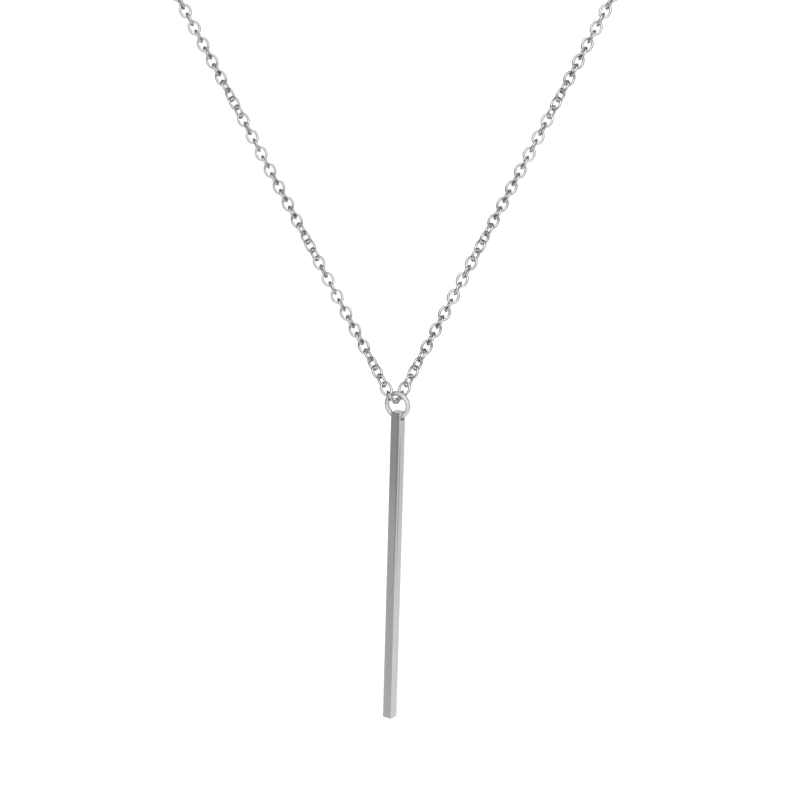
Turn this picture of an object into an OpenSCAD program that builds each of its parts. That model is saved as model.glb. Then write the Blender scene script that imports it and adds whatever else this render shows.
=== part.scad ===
/* [Bar] */
// Length of the square bar
bar_length = 50; // [30:1:60]
// Side of the bar's square section
bar_side = 1.56; // [1.5:0.02:1.6]
// Flat broken onto each sharp edge of the bar
bar_edge = 0.04; // [0.02:0.01:0.1]
// Diameter of the hole drilled through the bar for the jump ring
hole_d = 1.16; // [1.14:0.01:1.18]
// Distance from the top of the bar down to the hole's axis
hole_drop = 0.7; // [0.68:0.01:0.9]
// Lean of the bar towards the left of the front view, in degrees
bar_lean = 1.9; // [0:0.1:2]
// Turn of the bar out of the front view, right side forwards, in degrees
bar_yaw = 35; // [33:1:37]

/* [Jump ring] */
// Outside diameter of the jump ring
ring_od = 4.3; // [4.25:0.05:4.4]
// Wire diameter of the jump ring
ring_wire = 0.7; // [0.66:0.01:0.7]
// Turn of the ring out of the front view, right side forwards, in degrees
ring_yaw = 29; // [28:1:31]
// Place of the bar along the ring, right of the ring's lowest point, in degrees
ring_seat = 4; // [2:0.5:5]

/* [Chain] */
// Wire diameter of the links
link_wire = 0.38; // [0.36:0.01:0.38]
// Radius of the wire's middle line round the two ends of a link
link_bend = 0.7; // [0.7:0.01:0.71]
// Growth of a link's half width past that radius; its half length grows five times as much
link_ease = 0.055; // [0.055:0.005:0.06]
// Distance from one link's middle to the next
link_pitch = 1.426; // [1.4:0.001:1.43]
// Links on each side of the V that are built one by one
arm_links = 50; // [20:1:60]
// How much nearer to upright a link of the V hangs where it faces the front, in degrees
link_hang = 5; // [0:1:5]
// Angle of each side of the V from its middle line, in degrees
arm_angle = 28; // [26:0.5:30]
// Lean of the V back towards the neck, in degrees
chain_lean = 16; // [10:1:20]

/* [Worn loop] */
// How far the middle link lies in front of the clasp
front_reach = 110; // [100:1:120]
// How far the middle link hangs below the clasp
front_drop = 100; // [90:1:110]

/* [Clasp] */
// Outside diameter of the clasp's round body
clasp_od = 5.5; // [5:0.1:6.5]
// Thickness of the clasp's round body
clasp_wire = 0.7; // [0.6:0.1:0.8]
// Outside diameter of the clasp's eye
eye_od = 2.4; // [2.2:0.1:2.8]
// Wire diameter of the clasp's eye
eye_wire = 0.5; // [0.4:0.05:0.6]

/* [Hidden] */

$fn = 48;

// Ring: radius of the wire's middle line, and how far that line sags below the hole's axis
ring_r = (ring_od - ring_wire) / 2;
hole_sag = 0.11;

// Links: an oval of four arcs. The centres of the end and side arcs stand off the middle by 5 and
// 12 parts, so they are 13 parts from each other, and the arcs meet in one line with both, which
// leaves the link through the point far_right, far_up
end_up = 5 * link_ease;
side_in = 12 * link_ease;
side_r = link_bend + 13 * link_ease;
link_length = link_wire + 2 * (link_bend + end_up);
link_width = link_wire + 2 * (link_bend + link_ease);
far_right = 2 * side_in;
far_up = 3 * end_up;

// Places below are in the plane of the V: right of its middle line, back from it, and up in it,
// all from the point where the middle link lies
ring_place = [0.32, 0.3, -0.75];
first_link = [1.358, 1.665];
left_front = -1.0;
right_back = 0.95;

// The links at the ring: the middle one that carries it, then the ones to its left and right.
// Columns: right, back, up, lean forwards, swing to the right, turn about the link's length
RING_LINKS = [
    [-0.01, -0.04, 0.09, -37, 85, 90],
    [-0.66, -0.94, 0.42, 10, -31, 85],
    [0.65, 0.96, 0.41, -12, 31, 77],
];

// Twist of the chain along one repeat of its lay. Columns: links up from the repeat's start, degrees
REPEAT_TWIST = [
    [0, 18], [1, 32], [2, 38], [3, 42], [4, 65], [5, 67], [6, 73], [10, 75], [12, 81], [14, 98],
    [16, 105], [17, 108]
];
repeat_links = 17;

// Links at which the repeats start, up from the ring. A shorter repeat leaves out links of the
// table just after the one with this number, where the twist hardly changes
REPEAT_STARTS = [0, 15, 32, 47, 64];
level_link = 8;

// Route of the hidden chain on the right, round the side of the neck to the nape
NECK_ROUTE = [
    [45, -82, -19],
    [53, -67, -6],
    [57, -49, 0],
    [55, -31, 2],
    [46, -15, 2],
    [32, -5, 1],
    [17, -1, 1],
];
route_steps = 4;

// How far past its two ends the route keeps its direction, which steers its curve there
lead_in = 17;
lead_out = 15;

// Sides of the tube, and its distance from the link and the clasp that it lies between
tube_sides = 8;
tube_gap = 0.15;

clasp_r = (clasp_od - clasp_wire) / 2;
eye_r = (eye_od - eye_wire) / 2;
eye_bite = 0.35;
eye_x = clasp_r + eye_bite + eye_r;
right_end = clasp_od / 2 + tube_gap;
left_end = eye_x + eye_od / 2 + tube_gap;

// A point of the V's plane as a point of the whole part
function worn(right, back, up) = [
    right,
    -front_reach + back * cos(chain_lean) + up * sin(chain_lean),
    -front_drop - back * sin(chain_lean) + up * cos(chain_lean)
];

// Twist of the arm's link number n, counted up from the ring
function twist(n) =
    let (
        k = max([for (i = [0 : len(REPEAT_STARTS) - 2]) if (REPEAT_STARTS[i] <= n) i]),
        step = n - REPEAT_STARTS[k],
        left_out = repeat_links - REPEAT_STARTS[k + 1] + REPEAT_STARTS[k]
    )
    90 * k + lookup(step > level_link ? step + left_out : step, REPEAT_TWIST);

// Turn of that link about the chain, from facing the front
function turn(n) = 90 * n + twist(n);

// Point of a smooth curve through b and c, at t from 0 to 1 between them
function smooth(a, b, c, d, t) = 0.5 * (2 * b + (c - a) * t
    + (2 * a - 5 * b + 4 * c - d) * t * t
    + (3 * b - 3 * c + d - a) * t * t * t);

function unit(v) = v / norm(v);

// Centre line of the hidden chain from the top of the V to the clasp, which it meets at end_x
function neck_line(end_x) =
    let (
        n = arm_links - 1 + (link_length / 2 + tube_gap) / link_pitch,
        run = first_link + n * link_pitch * [sin(arm_angle), cos(arm_angle)],
        start = worn(run[0], 0, run[1]),
        before = worn(run[0] - lead_in * sin(arm_angle), 0, run[1] - lead_in * cos(arm_angle)),
        knots = concat([before, start], NECK_ROUTE, [[end_x, 0, 0], [end_x - lead_out, 0, 0]]),
        last = len(knots) - 3
    )
    concat(
        [for (k = [1 : last], s = [0 : route_steps - 1])
            smooth(knots[k - 1], knots[k], knots[k + 1], knots[k + 2], s / route_steps)],
        [knots[last + 1]]
    );

// Direction of a line of points at point k
function heading(line, k) = unit(line[min(k + 1, len(line) - 1)] - line[max(k - 1, 0)]);

// A tube of the given width along a line of points, closed at both ends
module tube(line, width) {
    count = len(line);
    points = [
        for (k = [0 : count - 1])
            let (along = heading(line, k), side = unit(cross(along, [0, 0, 1])), top = cross(side, along))
            for (s = [0 : tube_sides - 1])
                let (a = 360 * s / tube_sides)
                line[k] + width / 2 * (side * cos(a) + top * sin(a))
    ];
    walls = [
        for (k = [0 : count - 2], s = [0 : tube_sides - 1])
            let (a = k * tube_sides + s, b = k * tube_sides + (s + 1) % tube_sides)
            [a, b, b + tube_sides, a + tube_sides]
    ];
    first = [for (s = [tube_sides - 1 : -1 : 0]) s];
    last = [for (s = [0 : tube_sides - 1]) (count - 1) * tube_sides + s];
    polyhedron(points, concat(walls, [first], [last]), convexity = 6);
}

// Moves its children into the plane of the V, with the middle link's place as origin
module in_chain_plane() {
    translate([0, -front_reach, -front_drop]) rotate([-chain_lean, 0, 0]) children();
}

// Moves its children to the middle of the jump ring, whose plane is then the XZ plane
module in_ring() {
    in_chain_plane() translate(ring_place) rotate([chain_lean, 0, 0]) rotate([0, 0, -ring_yaw])
        children();
}

// A ring of link wire in the XY plane
module wire_ring(radius) {
    rotate_extrude()
        translate([radius, 0])
            circle(d = link_wire);
}

// A plate on the XY plane that is thicker than the link wire
module slab(outline) {
    translate([0, 0, -link_wire]) linear_extrude(2 * link_wire) polygon(outline);
}

// One oval link standing in the XZ plane: two side arcs and two end arcs, each cut from a ring
module link() {
    rotate([90, 0, 0])
        for (s = [-1, 1]) {
            intersection() {
                translate([-s * side_in, 0, 0]) wire_ring(side_r);
                slab([[-s * side_in, 0], [s * far_right, -far_up], [s * far_right, far_up]]);
            }
            intersection() {
                translate([0, s * end_up, 0]) wire_ring(link_bend);
                slab([
                    [0, s * end_up], [far_right, s * far_up], [far_right, s * link_length],
                    [-far_right, s * link_length], [-far_right, s * far_up]
                ]);
            }
        }
}

// The three links at the ring, from their table
module ring_links() {
    for (row = RING_LINKS)
        translate([row[0], row[1], row[2]])
            rotate([row[3], row[4], 0])
                rotate([0, 0, row[5]])
                    link();
}

// The straight left side of the V, which starts at the given depth and ends in the V's plane
module arm(depth) {
    slope = -depth / (arm_links * link_pitch);
    for (n = [0 : arm_links - 1])
        translate([
            -first_link[0] - n * link_pitch * sin(arm_angle),
            depth + n * link_pitch * slope,
            first_link[1] + n * link_pitch * cos(arm_angle)
        ])
            rotate([-asin(slope), link_hang * pow(cos(turn(n)), 2) - arm_angle, 0])
                rotate([0, 0, turn(n)])
                    link();
}

// A rod with the given width, depth and height whose edges are all broken
module broken_bar(side, height, edge) {
    intersection() {
        translate([0, 0, -height / 2]) linear_extrude(height) broken_square(side, side, edge);
        translate([0, side / 2, 0]) rotate([90, 0, 0]) linear_extrude(side)
            broken_square(side, height, edge);
        rotate([0, 0, 90]) translate([0, side / 2, 0]) rotate([90, 0, 0]) linear_extrude(side)
            broken_square(side, height, edge);
    }
}

// A rectangle about the origin with cut corners
module broken_square(w, h, edge) {
    x = w / 2;
    y = h / 2;
    polygon([
        [-x + edge, -y], [x - edge, -y], [x, -y + edge], [x, y - edge],
        [x - edge, y], [-x + edge, y], [-x, y - edge], [-x, -y + edge]
    ]);
}

module bar() {
    color("silver")
        in_ring()
            translate((ring_r - hole_sag) * [sin(ring_seat), 0, -cos(ring_seat)])
                rotate([0, 0, ring_yaw - bar_yaw])
                    rotate([0, bar_lean, 0])
                        difference() {
                            translate([0, 0, hole_drop - bar_length / 2])
                                broken_bar(bar_side, bar_length, bar_edge);
                            rotate([0, 90, 0]) cylinder(d = hole_d, h = 2 * bar_side, center = true);
                        }
}

module jump_ring() {
    color("gainsboro")
        in_ring()
            rotate([90, 0, 0])
                rotate_extrude()
                    translate([ring_r, 0])
                        circle(d = ring_wire);
}

module front_chain() {
    color("lightgray")
        in_chain_plane() {
            ring_links();
            arm(left_front);
            mirror([1, 0, 0]) arm(right_back);
        }
}

module neck_chain() {
    color("lightgray") {
        tube(neck_line(right_end), link_width);
        mirror([1, 0, 0]) tube(neck_line(left_end), link_width);
    }
}

module clasp() {
    color("gainsboro") {
        rotate([90, 0, 0])
            rotate_extrude()
                translate([clasp_r, 0])
                    circle(d = clasp_wire);
        translate([-eye_x, 0, 0])
            rotate([90, 0, 0])
                rotate_extrude()
                    translate([eye_r, 0])
                        circle(d = eye_wire);
    }
}

bar();
jump_ring();
front_chain();
neck_chain();
clasp();
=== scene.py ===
"""Looks of the bar pendant on its chain: polished cable chain, jump ring and a satin square bar."""

import math

import bmesh
import bpy
from mathutils import Matrix, Vector


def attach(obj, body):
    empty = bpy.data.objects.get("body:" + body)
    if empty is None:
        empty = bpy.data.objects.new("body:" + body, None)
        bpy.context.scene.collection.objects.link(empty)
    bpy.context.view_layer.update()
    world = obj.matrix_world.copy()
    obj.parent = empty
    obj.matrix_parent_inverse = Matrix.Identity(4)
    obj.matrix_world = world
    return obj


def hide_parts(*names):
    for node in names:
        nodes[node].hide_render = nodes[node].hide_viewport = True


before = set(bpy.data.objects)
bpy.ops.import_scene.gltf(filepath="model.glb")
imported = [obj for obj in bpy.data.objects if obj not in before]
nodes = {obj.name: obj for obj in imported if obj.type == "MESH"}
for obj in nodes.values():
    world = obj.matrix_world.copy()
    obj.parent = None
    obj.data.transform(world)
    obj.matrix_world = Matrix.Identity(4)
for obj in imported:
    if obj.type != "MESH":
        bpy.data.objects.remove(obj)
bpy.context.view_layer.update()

MM = 0.001
QUARTER = math.pi / 2

# The worn chain, from the same values as the solids
FRONT_REACH, FRONT_DROP, CHAIN_LEAN = 110 * MM, 100 * MM, math.radians(16)
ARM_ANGLE = math.radians(28)
ARM_LINKS = 50
FIRST_LINK = (1.358 * MM, 1.665 * MM)
# Power that brings a stretched circle to the links' oval of four arcs
OVAL_FULLNESS = 0.88
LINK_LENGTH, LINK_WIDTH, LINK_WIRE, LINK_PITCH = 2.33 * MM, 1.89 * MM, 0.38 * MM, 1.426 * MM
# The lay twists by a quarter turn in each repeat, and the first hidden link stands in the fourth
REPEAT_LINKS, REPEATS_DONE, TWIST_THERE = 17, 3, math.radians(42)
TWIST_PER_LINK = QUARTER / REPEAT_LINKS
NEXT_TURN = QUARTER * (ARM_LINKS + REPEATS_DONE) + TWIST_THERE
ARM_TURN = {"right": -NEXT_TURN, "left": NEXT_TURN}
# The hidden chain: points that it runs through on the right, in mm, how far before and past it the
# curve takes its direction, and its straight pieces between two of the points
NECK_ROUTE = [
    (45, -82, -19),
    (53, -67, -6),
    (57, -49, 0),
    (55, -31, 2),
    (46, -15, 2),
    (32, -5, 1),
    (17, -1, 1),
]
LEAD_IN, LEAD_OUT, ROUTE_STEPS = 17 * MM, 15 * MM, 40
CLASP_HOOK = {"right": 2.80 * MM, "left": 5.15 * MM}
# Straight pieces round a hidden link, and round its wire
LINK_PIECES, WIRE_SIDES = 16, 6

# The bar: middle of its top, its turn out of the front view and its lean
BAR_TOP = (0.442 * MM, -109.989 * MM, -101.79 * MM)
BAR_YAW, BAR_LEAN = math.radians(35), math.radians(1.9)
# How far from the bar's middle line a point counts as inside a face, and as on it
FACE_DEPTHS = (0.74 * MM, 0.77 * MM)

# The picture: a point in the plane of the V at its centre, and how far away the eye is
PICTURE_CENTRE = Vector((0.6975 * MM, -FRONT_REACH, -FRONT_DROP))
EYE_DISTANCE = 350 * MM
PICTURE_WIDTH = 120 * MM


# Chain along the neck


def worn(right, up):
    """A point of the V's plane in the frame of the part."""
    return Vector(
        (
            right,
            -FRONT_REACH + up * math.sin(CHAIN_LEAN),
            -FRONT_DROP + up * math.cos(CHAIN_LEAN),
        )
    )


def smooth(a, b, c, d, t):
    """Point of a smooth curve through b and c."""
    return 0.5 * (
        2 * b
        + (c - a) * t
        + (2 * a - 5 * b + 4 * c - d) * t * t
        + (3 * b - 3 * c + d - a) * t * t * t
    )


def along_arm(run):
    """The point of the V's right side at a run up from its first link."""
    return worn(
        FIRST_LINK[0] + run * math.sin(ARM_ANGLE),
        FIRST_LINK[1] + run * math.cos(ARM_ANGLE),
    )


def neck_line(side):
    """Close points along the hidden chain, from the first link after the V to the clasp's."""
    run = ARM_LINKS * LINK_PITCH
    end = Vector((CLASP_HOOK[side], 0, 0))
    past = end - Vector((LEAD_OUT, 0, 0))
    route = [Vector(p) * MM for p in NECK_ROUTE]
    knots = [along_arm(run - LEAD_IN), along_arm(run), *route, end, past]
    line = []
    for k in range(1, len(knots) - 2):
        for s in range(ROUTE_STEPS):
            line.append(smooth(*knots[k - 1 : k + 3], s / ROUTE_STEPS))
    line.append(knots[-2])
    if side == "left":
        line = [Vector((-p.x, p.y, p.z)) for p in line]
    return line


def first_turn(side):
    """Turn of the first hidden link about the chain, counted as the node tree counts it."""
    sign = 1 if side == "right" else -1
    to_world = Matrix.Rotation(-CHAIN_LEAN, 3, "X") @ Matrix.Rotation(sign * ARM_ANGLE, 3, "Y")
    along = to_world @ Vector((0, 0, 1))
    flat = to_world @ Matrix.Rotation(ARM_TURN[side], 3, "Z") @ Vector((0, 1, 0))
    across = along.cross(Vector((0, 0, 1))).normalized()
    return math.atan2(flat.dot(along.cross(across)), flat.dot(across))


def new_group(name, kind, sockets):
    """A node group with the given (name, direction, type, default) sockets."""
    group = bpy.data.node_groups.new(name, kind)
    for label, direction, socket_type, default in sockets:
        socket = group.interface.new_socket(name=label, in_out=direction, socket_type=socket_type)
        if default is not None:
            socket.default_value = default
    return group


def node(tree, kind, place, inputs=None, **settings):
    """A node with its settings and its inputs, each a value or another node's output."""
    made = tree.nodes.new(kind)
    made.location = place
    for key, value in settings.items():
        setattr(made, key, value)
    for key, value in (inputs or {}).items():
        if isinstance(value, bpy.types.NodeSocket):
            tree.links.new(value, made.inputs[key])
        else:
            made.inputs[key].default_value = value
    return made


def reckon(tree, place, operation, a, b=None):
    """The result of a math node on one or two values."""
    inputs = {0: a} if b is None else {0: a, 1: b}
    return node(tree, "ShaderNodeMath", place, inputs, operation=operation).outputs[0]


def link_tree():
    """Oval links laid along a curve, each turned a quarter and a little more than the last."""
    tree = new_group(
        "cable_chain",
        "GeometryNodeTree",
        [
            ("Line", "INPUT", "NodeSocketGeometry", None),
            ("Links", "INPUT", "NodeSocketInt", 100),
            ("Half width", "INPUT", "NodeSocketFloat", 0.6 * MM),
            ("Half length", "INPUT", "NodeSocketFloat", 1.0 * MM),
            ("Wire radius", "INPUT", "NodeSocketFloat", 0.18 * MM),
            ("First turn", "INPUT", "NodeSocketFloat", 0.0),
            ("Turn per link", "INPUT", "NodeSocketFloat", 1.6),
            ("Metal", "INPUT", "NodeSocketMaterial", None),
            ("Chain", "OUTPUT", "NodeSocketGeometry", None),
        ],
    )
    given = node(tree, "NodeGroupInput", (-1200, 0)).outputs

    # One link: a circle with its halves stretched lengthwise, and a round wire along it
    circle = node(
        tree,
        "GeometryNodeCurvePrimitiveCircle",
        (-900, -300),
        {"Resolution": LINK_PIECES, "Radius": given["Half width"]},
    )
    position = node(tree, "GeometryNodeInputPosition", (-1100, -560))
    parts = node(tree, "ShaderNodeSeparateXYZ", (-940, -560), {0: position.outputs[0]})
    upward = reckon(tree, (-780, -560), "DIVIDE", parts.outputs["Y"], given["Half width"])
    size = reckon(tree, (-620, -560), "ABSOLUTE", upward)
    fuller = reckon(tree, (-460, -560), "POWER", size, OVAL_FULLNESS)
    side = reckon(tree, (-460, -720), "SIGN", upward)
    along = reckon(tree, (-300, -640), "MULTIPLY", fuller, side)
    pulled = reckon(tree, (-140, -640), "MULTIPLY", along, given["Half length"])
    stood = node(
        tree, "ShaderNodeCombineXYZ", (20, -560), {"X": parts.outputs["X"], "Z": pulled}
    )
    oval = node(
        tree,
        "GeometryNodeSetPosition",
        (-620, -300),
        {"Geometry": circle.outputs["Curve"], "Position": stood.outputs[0]},
    )
    section = node(
        tree,
        "GeometryNodeCurvePrimitiveCircle",
        (-620, -120),
        {"Resolution": WIRE_SIDES, "Radius": given["Wire radius"]},
    )
    link = node(
        tree,
        "GeometryNodeCurveToMesh",
        (-400, -260),
        {"Curve": oval.outputs[0], "Profile Curve": section.outputs["Curve"], "Fill Caps": False},
    )

    # Places along the line, with level sides
    level = node(
        tree, "GeometryNodeSetCurveNormal", (-900, 120), {"Curve": given["Line"]}, mode="Z_UP"
    )
    spots = node(
        tree,
        "GeometryNodeCurveToPoints",
        (-700, 120),
        {"Curve": level.outputs[0], "Count": given["Links"]},
        mode="COUNT",
    )
    index = node(tree, "GeometryNodeInputIndex", (-700, 300))
    steps = reckon(tree, (-520, 300), "MULTIPLY", index.outputs[0], given["Turn per link"])
    turn = reckon(tree, (-360, 300), "ADD", steps, given["First turn"])
    spin = node(tree, "ShaderNodeCombineXYZ", (-200, 300), {"Z": turn})
    spin_turn = node(tree, "FunctionNodeEulerToRotation", (-40, 300), {0: spin.outputs[0]})
    upright = node(
        tree,
        "FunctionNodeAxesToRotation",
        (-360, 120),
        {"Primary Axis": spots.outputs["Tangent"], "Secondary Axis": spots.outputs["Normal"]},
        primary_axis="Z",
        secondary_axis="Y",
    )
    turned = node(
        tree,
        "FunctionNodeRotateRotation",
        (120, 200),
        {"Rotation": upright.outputs[0], "Rotate By": spin_turn.outputs[0]},
        rotation_space="LOCAL",
    )
    row = node(
        tree,
        "GeometryNodeInstanceOnPoints",
        (300, 0),
        {
            "Points": spots.outputs["Points"],
            "Instance": link.outputs[0],
            "Rotation": turned.outputs[0],
        },
    )
    real = node(tree, "GeometryNodeRealizeInstances", (480, 0), {0: row.outputs[0]})
    soft = node(tree, "GeometryNodeSetShadeSmooth", (640, 0), {"Geometry": real.outputs[0]})
    dressed = node(
        tree,
        "GeometryNodeSetMaterial",
        (800, 0),
        {"Geometry": soft.outputs[0], "Material": given["Metal"]},
    )
    out = node(tree, "NodeGroupOutput", (980, 0))
    tree.links.new(dressed.outputs[0], out.inputs["Chain"])
    return tree


def curve_object(name, points):
    """A straight-pieced curve through the points."""
    data = bpy.data.curves.new(name, "CURVE")
    data.dimensions = "3D"
    spline = data.splines.new("POLY")
    spline.points.add(len(points) - 1)
    for spot, p in zip(spline.points, points):
        spot.co = (*p, 1)
    made = bpy.data.objects.new(name, data)
    bpy.context.scene.collection.objects.link(made)
    return made


def lay_links(tree, side, metal):
    """The mesh of one side's hidden links."""
    line = neck_line(side)
    length = sum((b - a).length for a, b in zip(line, line[1:]))
    count = round(length / LINK_PITCH) + 1
    start = first_turn(side)
    sense = -1 if side == "right" else 1
    wanted = (QUARTER + sense * TWIST_PER_LINK) * (count - 1)
    # The last link lies flat, so that the clasp's upright wire passes through it
    whole = round((start + wanted - QUARTER) / math.pi) * math.pi
    step = (whole + QUARTER - start) / (count - 1)
    route = curve_object("neck_line_" + side, line)
    modifier = route.modifiers.new("links", "NODES")
    modifier.node_group = tree
    values = {
        "Links": count,
        "Half width": (LINK_WIDTH - LINK_WIRE) / 2,
        "Half length": (LINK_LENGTH - LINK_WIRE) / 2,
        "Wire radius": LINK_WIRE / 2,
        "First turn": start,
        "Turn per link": step,
        "Metal": metal,
    }
    for item in tree.interface.items_tree:
        if item.in_out == "INPUT" and item.name in values:
            modifier[item.identifier] = values[item.name]
    bpy.context.view_layer.update()
    laid = route.evaluated_get(bpy.context.evaluated_depsgraph_get())
    shape = bpy.data.meshes.new_from_object(laid)
    bpy.data.objects.remove(route)
    return shape


# Finishes, with painted reflection and shade on the bar


def marks_group():
    """Fine marks of working: a roughness, a tone and a normal that change over the surface."""
    tree = new_group(
        "worked_metal",
        "ShaderNodeTree",
        [
            ("Coordinates", "INPUT", "NodeSocketVector", None),
            ("Fineness", "INPUT", "NodeSocketFloat", 4000.0),
            ("Roughness low", "INPUT", "NodeSocketFloat", 0.1),
            ("Roughness high", "INPUT", "NodeSocketFloat", 0.2),
            ("Depth", "INPUT", "NodeSocketFloat", 0.1),
            ("Roughness", "OUTPUT", "NodeSocketFloat", None),
            ("Tone", "OUTPUT", "NodeSocketFloat", None),
            ("Normal", "OUTPUT", "NodeSocketVector", None),
        ],
    )
    given = node(tree, "NodeGroupInput", (-800, 0)).outputs
    marks = node(
        tree,
        "ShaderNodeTexNoise",
        (-520, 100),
        {
            "Vector": given["Coordinates"],
            "Scale": given["Fineness"],
            "Detail": 6.0,
            "Roughness": 0.62,
        },
    )
    rough = node(
        tree,
        "ShaderNodeMapRange",
        (-260, 140),
        {
            "Value": marks.outputs["Fac"],
            "From Min": 0.3,
            "From Max": 0.7,
            "To Min": given["Roughness low"],
            "To Max": given["Roughness high"],
        },
    )
    bump = node(
        tree,
        "ShaderNodeBump",
        (-260, -160),
        {"Strength": given["Depth"], "Distance": 0.02 * MM, "Height": marks.outputs["Fac"]},
    )
    out = node(tree, "NodeGroupOutput", (0, 0))
    tree.links.new(rough.outputs["Result"], out.inputs["Roughness"])
    tree.links.new(marks.outputs["Fac"], out.inputs["Tone"])
    tree.links.new(bump.outputs["Normal"], out.inputs["Normal"])
    return tree


def new_material(name, metallic):
    """An empty material with its shader: the material, its nodes and the shader."""
    material = bpy.data.materials.new(name)
    material.use_nodes = True
    tree = material.node_tree
    tree.nodes.clear()
    shader = node(tree, "ShaderNodeBsdfPrincipled", (300, 0), {"Metallic": metallic})
    out = node(tree, "ShaderNodeOutputMaterial", (600, 0))
    tree.links.new(shader.outputs[0], out.inputs["Surface"])
    return material, tree, shader


def bar_place(tree):
    """Coordinates in the bar's own frame: across its shown faces, and up from its top's middle."""
    place = node(tree, "ShaderNodeTexCoord", (-1900, 0)).outputs["Object"]
    for x, key, value in (
        (-1700, "Location", [-v for v in BAR_TOP]),
        (-1500, "Rotation", (0, 0, BAR_YAW)),
        (-1300, "Rotation", (0, -BAR_LEAN, 0)),
    ):
        inputs = {"Vector": place, key: value}
        place = node(tree, "ShaderNodeMapping", (x, 0), inputs, vector_type="POINT").outputs[0]
    return place


def drawn_out(tree, place, squeeze):
    """The bar's coordinates squeezed lengthwise, so that noise on them draws out into streaks."""
    inputs = {"Vector": place, "Scale": (1, 1, squeeze)}
    return node(tree, "ShaderNodeMapping", (-1100, -200), inputs).outputs[0]


def rise(tree, place, value, low, high, to_low=0.0, to_high=1.0):
    """A smooth step from one value to another."""
    return node(
        tree,
        "ShaderNodeMapRange",
        place,
        {"Value": value, "From Min": low, "From Max": high, "To Min": to_low, "To Max": to_high},
        interpolation_type="SMOOTHSTEP",
    ).outputs["Result"]


def times(tree, place, *values):
    """The product of the values."""
    made = values[0]
    for value in values[1:]:
        made = reckon(tree, place, "MULTIPLY", made, value)
    return made


def line_mark(tree, place, across, middle, half, *limits):
    """A soft line where across is near middle, kept to where each limit mask is 1."""
    x, y = place
    up = rise(tree, (x, y), across, middle - half, middle)
    down = rise(tree, (x, y - 200), across, middle, middle + half, 1.0, 0.0)
    return times(tree, (x + 400, y), up, down, *limits)


def tone_ramp(tree, place, value, stops):
    """Silver tones, a hair blue, at the (value, tone) stops."""
    ramp = node(tree, "ShaderNodeValToRGB", place, {"Fac": value})
    points = ramp.color_ramp.elements
    while len(points) < len(stops):
        points.new(0.5)
    for point, (at, tone) in zip(points, stops):
        point.position = at
        point.color = (tone, tone, tone * 1.004, 1)
    return ramp.outputs["Color"]


def place_marks(tree, marks, coordinates, fineness, low, high, depth):
    """The group of marks in a material, with its sizes."""
    inputs = {
        "Coordinates": coordinates,
        "Fineness": fineness,
        "Roughness low": low,
        "Roughness high": high,
        "Depth": depth,
    }
    return node(tree, "ShaderNodeGroup", (-500, -200), inputs, node_tree=marks)


def dress(tree, shader, tone, group):
    """The tone and the marks, led to the shader."""
    tree.links.new(tone, shader.inputs["Base Color"])
    tree.links.new(group.outputs["Roughness"], shader.inputs["Roughness"])
    tree.links.new(group.outputs["Normal"], shader.inputs["Normal"])


def satin_silver(marks):
    """The bar: brushed along its length, with a painted dark reflection line and painted shade
    beside its front edge, and painted shade at its top end.
    """
    material, tree, shader = new_material("satin_silver", 1.0)
    place = bar_place(tree)
    parts = node(tree, "ShaderNodeSeparateXYZ", (-1100, 300), {0: place})
    right, back, up = parts.outputs
    fine = drawn_out(tree, place, 0.03)
    group = place_marks(tree, marks, fine, 9000, 0.2, 0.32, 0.12)
    streaks = node(
        tree,
        "ShaderNodeTexNoise",
        (-600, 300),
        {"Vector": fine, "Scale": 900.0, "Detail": 3.0, "Roughness": 0.5},
    )
    tone = tone_ramp(
        tree, (-300, 300), streaks.outputs["Fac"], [(0.3, 0.86), (0.5, 0.91), (0.7, 0.95)]
    )

    # Painted light on the bar: a dark reflection line on the right face, shade by the front edge on
    # the left face, and shade at the left face's top end
    right_face = rise(tree, (-900, 700), right, *FACE_DEPTHS)
    left_face = rise(tree, (-900, 900), back, -FACE_DEPTHS[1], -FACE_DEPTHS[0], 1.0, 0.0)
    reflection_line_top = rise(tree, (-900, 1100), up, -2.5 * MM, -6 * MM)
    reflection_line_foot = rise(tree, (-900, 1300), up, -30 * MM, -16 * MM)
    # A painted dark reflection line down the right face, beside the front edge, fading in below the
    # top and out towards the foot
    line = line_mark(
        tree, (-700, 700), back, -0.39 * MM, 0.24 * MM, right_face, reflection_line_top, reflection_line_foot
    )
    # Painted shade on the left face beside the front edge, fading out towards the foot
    shade_foot = rise(tree, (-900, 1500), up, -30 * MM, -14 * MM)
    painted_edge_shade = line_mark(tree, (-700, 1100), right, 0.6 * MM, 0.36 * MM, left_face, shade_foot)
    # Painted shade that darkens the top end of the left face
    painted_top_shade = times(tree, (-500, 1500), rise(tree, (-700, 1500), up, -20 * MM, -6 * MM), left_face)
    # Each painted reflection or shade mask darkens the bar's colour by its depth
    painted_shade_layers = None
    for mask, depth in ((line, 0.5), (painted_edge_shade, 0.2), (painted_top_shade, 0.2)):
        inputs = {"Value": mask, "To Min": 1.0, "To Max": 1.0 - depth}
        layer = node(tree, "ShaderNodeMapRange", (-200, 900), inputs).outputs["Result"]
        painted_shade_layers = layer if painted_shade_layers is None else times(tree, (-100, 900), painted_shade_layers, layer)
    tone_with_painted_shade = node(
        tree, "ShaderNodeMix", (100, 300), {"Factor": 1.0}, data_type="RGBA", blend_type="MULTIPLY"
    )
    # The mix node's colour sockets: 6 and 7 go in, 2 comes out
    tree.links.new(tone, tone_with_painted_shade.inputs[6])
    tree.links.new(painted_shade_layers, tone_with_painted_shade.inputs[7])
    dress(tree, shader, tone_with_painted_shade.outputs[2], group)
    return material


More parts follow.
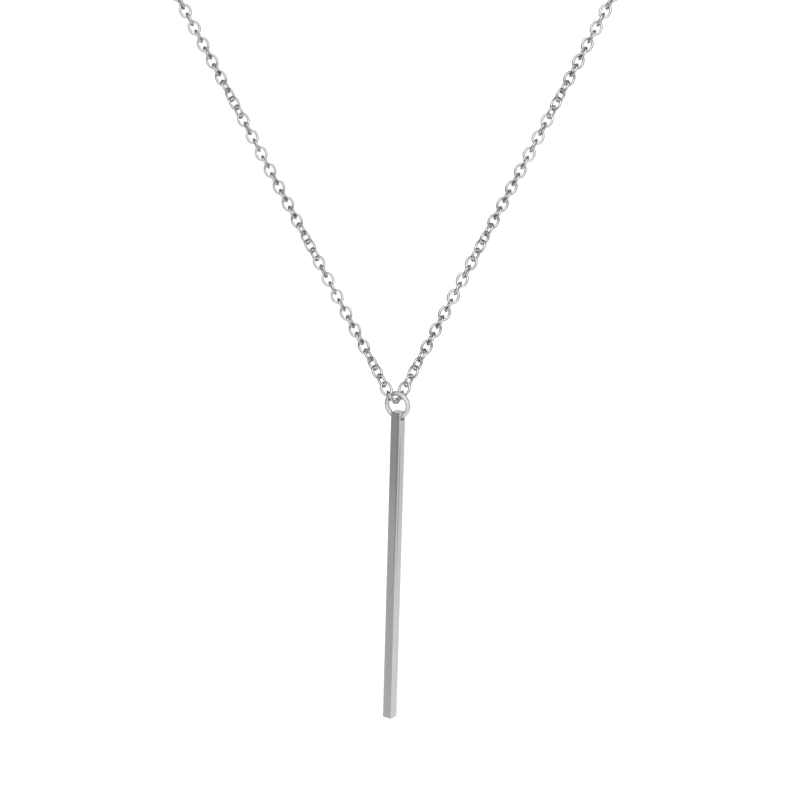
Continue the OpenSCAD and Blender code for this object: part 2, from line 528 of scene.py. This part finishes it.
def polished_silver(marks, name, fineness, roughness, tones):
    """Silver with fine marks: the ranges of its roughness and of its tone."""
    material, tree, shader = new_material(name, 1.0)
    coords = node(tree, "ShaderNodeTexCoord", (-900, 0))
    group = place_marks(tree, marks, coords.outputs["Object"], fineness, *roughness, 0.06)
    stops = [(0.3, tones[0]), (0.7, tones[1])]
    tone = tone_ramp(tree, (-200, 200), group.outputs["Tone"], stops)
    dress(tree, shader, tone, group)
    return material


# Studio


def floor_material():
    """A pale matt floor that keeps white under the piece."""
    material, tree, shader = new_material("pale_floor", 0.0)
    coords = node(tree, "ShaderNodeTexCoord", (-700, 0))
    inputs = {"Vector": coords.outputs["Object"], "Scale": 3.0}
    cloud = node(tree, "ShaderNodeTexNoise", (-500, 0), inputs)
    tone = tone_ramp(tree, (-250, 0), cloud.outputs["Fac"], [(0.3, 0.9), (0.7, 0.92)])
    tree.links.new(tone, shader.inputs["Base Color"])
    tree.links.new(tone, shader.inputs["Emission Color"])
    shader.inputs["Roughness"].default_value = 0.9
    shader.inputs["Emission Strength"].default_value = 0.8
    return material


# Soft panels of the studio: direction from the piece, where the light starts and is full, how much
PANELS = [
    ((0, -0.82, 0.57), 0.68, 0.96, 1.8),
    ((0.903, 0.33, -0.28), 0.70, 0.95, 0.36),
    ((-0.903, -0.33, -0.28), 0.70, 0.95, 0.15),
    ((0, 0.961, 0.276), 0.86, 0.99, 0.55),
    ((0, -0.78, -0.62), 0.70, 0.96, 0.6),
    ((0, 0, -1), 0.1, 0.6, 0.38),
]
DIM_ROOM = 0.06
# Half the floor's side and its height, in metres
FLOOR_HALF, FLOOR_HEIGHT = 4.0, -0.26


def studio_world():
    """White behind the piece for the eye, and a soft studio for its reflections."""
    world = bpy.data.worlds.new("soft_studio")
    bpy.context.scene.world = world
    world.use_nodes = True
    tree = world.node_tree
    tree.nodes.clear()
    coords = node(tree, "ShaderNodeTexCoord", (-1200, 0))
    total = DIM_ROOM
    for step, (way, low, high, amount) in enumerate(PANELS):
        facing = node(
            tree,
            "ShaderNodeVectorMath",
            (-1000, -200 * step),
            {0: coords.outputs["Generated"], 1: way},
            operation="DOT_PRODUCT",
        )
        lit = rise(tree, (-800, -200 * step), facing.outputs["Value"], low, high, 0.0, amount)
        total = reckon(tree, (-600 + 60 * step, -200 * step), "ADD", lit, total)
    seen = node(tree, "ShaderNodeLightPath", (-200, 300))
    shown = node(
        tree,
        "ShaderNodeMix",
        (0, 0),
        {"Factor": seen.outputs["Is Camera Ray"], "A": total, "B": 1.0},
        data_type="FLOAT",
    )
    light = node(
        tree, "ShaderNodeBackground", (200, 0), {"Color": shown.outputs[0], "Strength": 1.0}
    )
    out = node(tree, "ShaderNodeOutputWorld", (400, 0))
    tree.links.new(light.outputs[0], out.inputs["Surface"])


def soft_light(name, place, target, size, power):
    """A round soft lamp that faces the target."""
    data = bpy.data.lights.new(name, "AREA")
    data.shape = "DISK"
    data.size = size
    data.energy = power
    lamp = bpy.data.objects.new(name, data)
    bpy.context.scene.collection.objects.link(lamp)
    lamp.location = place
    lamp.rotation_euler = (Vector(target) - Vector(place)).to_track_quat("-Z", "Y").to_euler()


def studio():
    """The floor, the world and the lamps."""
    mesh = bpy.data.meshes.new("floor")
    maker = bmesh.new()
    bmesh.ops.create_grid(maker, x_segments=8, y_segments=8, size=FLOOR_HALF)
    bmesh.ops.translate(maker, verts=maker.verts, vec=(0, 0, FLOOR_HEIGHT))
    maker.to_mesh(mesh)
    maker.free()
    floor = bpy.data.objects.new("floor", mesh)
    bpy.context.scene.collection.objects.link(floor)
    floor.data.materials.append(floor_material())
    floor.visible_glossy = False
    studio_world()
    middle = (0, -0.1, -0.1)
    soft_light("key", (-0.35, -0.7, 0.5), middle, size=0.35, power=0.35)
    soft_light("fill", (0.6, -0.5, 0.2), middle, size=0.5, power=0.4)


def camera():
    """The eye that looks square at the V's plane."""
    data = bpy.data.cameras.new("picture")
    data.sensor_width = 36
    data.lens = data.sensor_width * EYE_DISTANCE / PICTURE_WIDTH
    data.clip_start = 0.01
    eye = bpy.data.objects.new("picture", data)
    bpy.context.scene.collection.objects.link(eye)
    look = Vector((0, math.cos(CHAIN_LEAN), -math.sin(CHAIN_LEAN)))
    eye.location = PICTURE_CENTRE - EYE_DISTANCE * look
    eye.rotation_euler = (math.pi / 2 - CHAIN_LEAN, 0, 0)
    bpy.context.scene.camera = eye


bpy.context.scene.view_settings.view_transform = "Standard"
camera()
studio()

marks = marks_group()
chain_silver = polished_silver(marks, "chain_silver", 3500, (0.05, 0.11), (0.63, 0.73))
ring_silver = polished_silver(marks, "ring_silver", 2500, (0.62, 0.72), (0.92, 0.97))
for name, metal in (
    ("bar", satin_silver(marks)),
    ("jump_ring", ring_silver),
    ("front_chain", chain_silver),
    ("clasp", chain_silver),
):
    nodes[name].data.materials.clear()
    nodes[name].data.materials.append(metal)

tree = link_tree()
joined = bmesh.new()
for side in ("right", "left"):
    joined.from_mesh(lay_links(tree, side, chain_silver))
bmesh.ops.recalc_face_normals(joined, faces=joined.faces)
neck_mesh = bpy.data.meshes.new("neck_links")
joined.to_mesh(neck_mesh)
joined.free()
neck_mesh.materials.append(chain_silver)
neck_links = bpy.data.objects.new("neck_links", neck_mesh)
bpy.context.scene.collection.objects.link(neck_links)
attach(neck_links, "chain")
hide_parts("neck_chain")
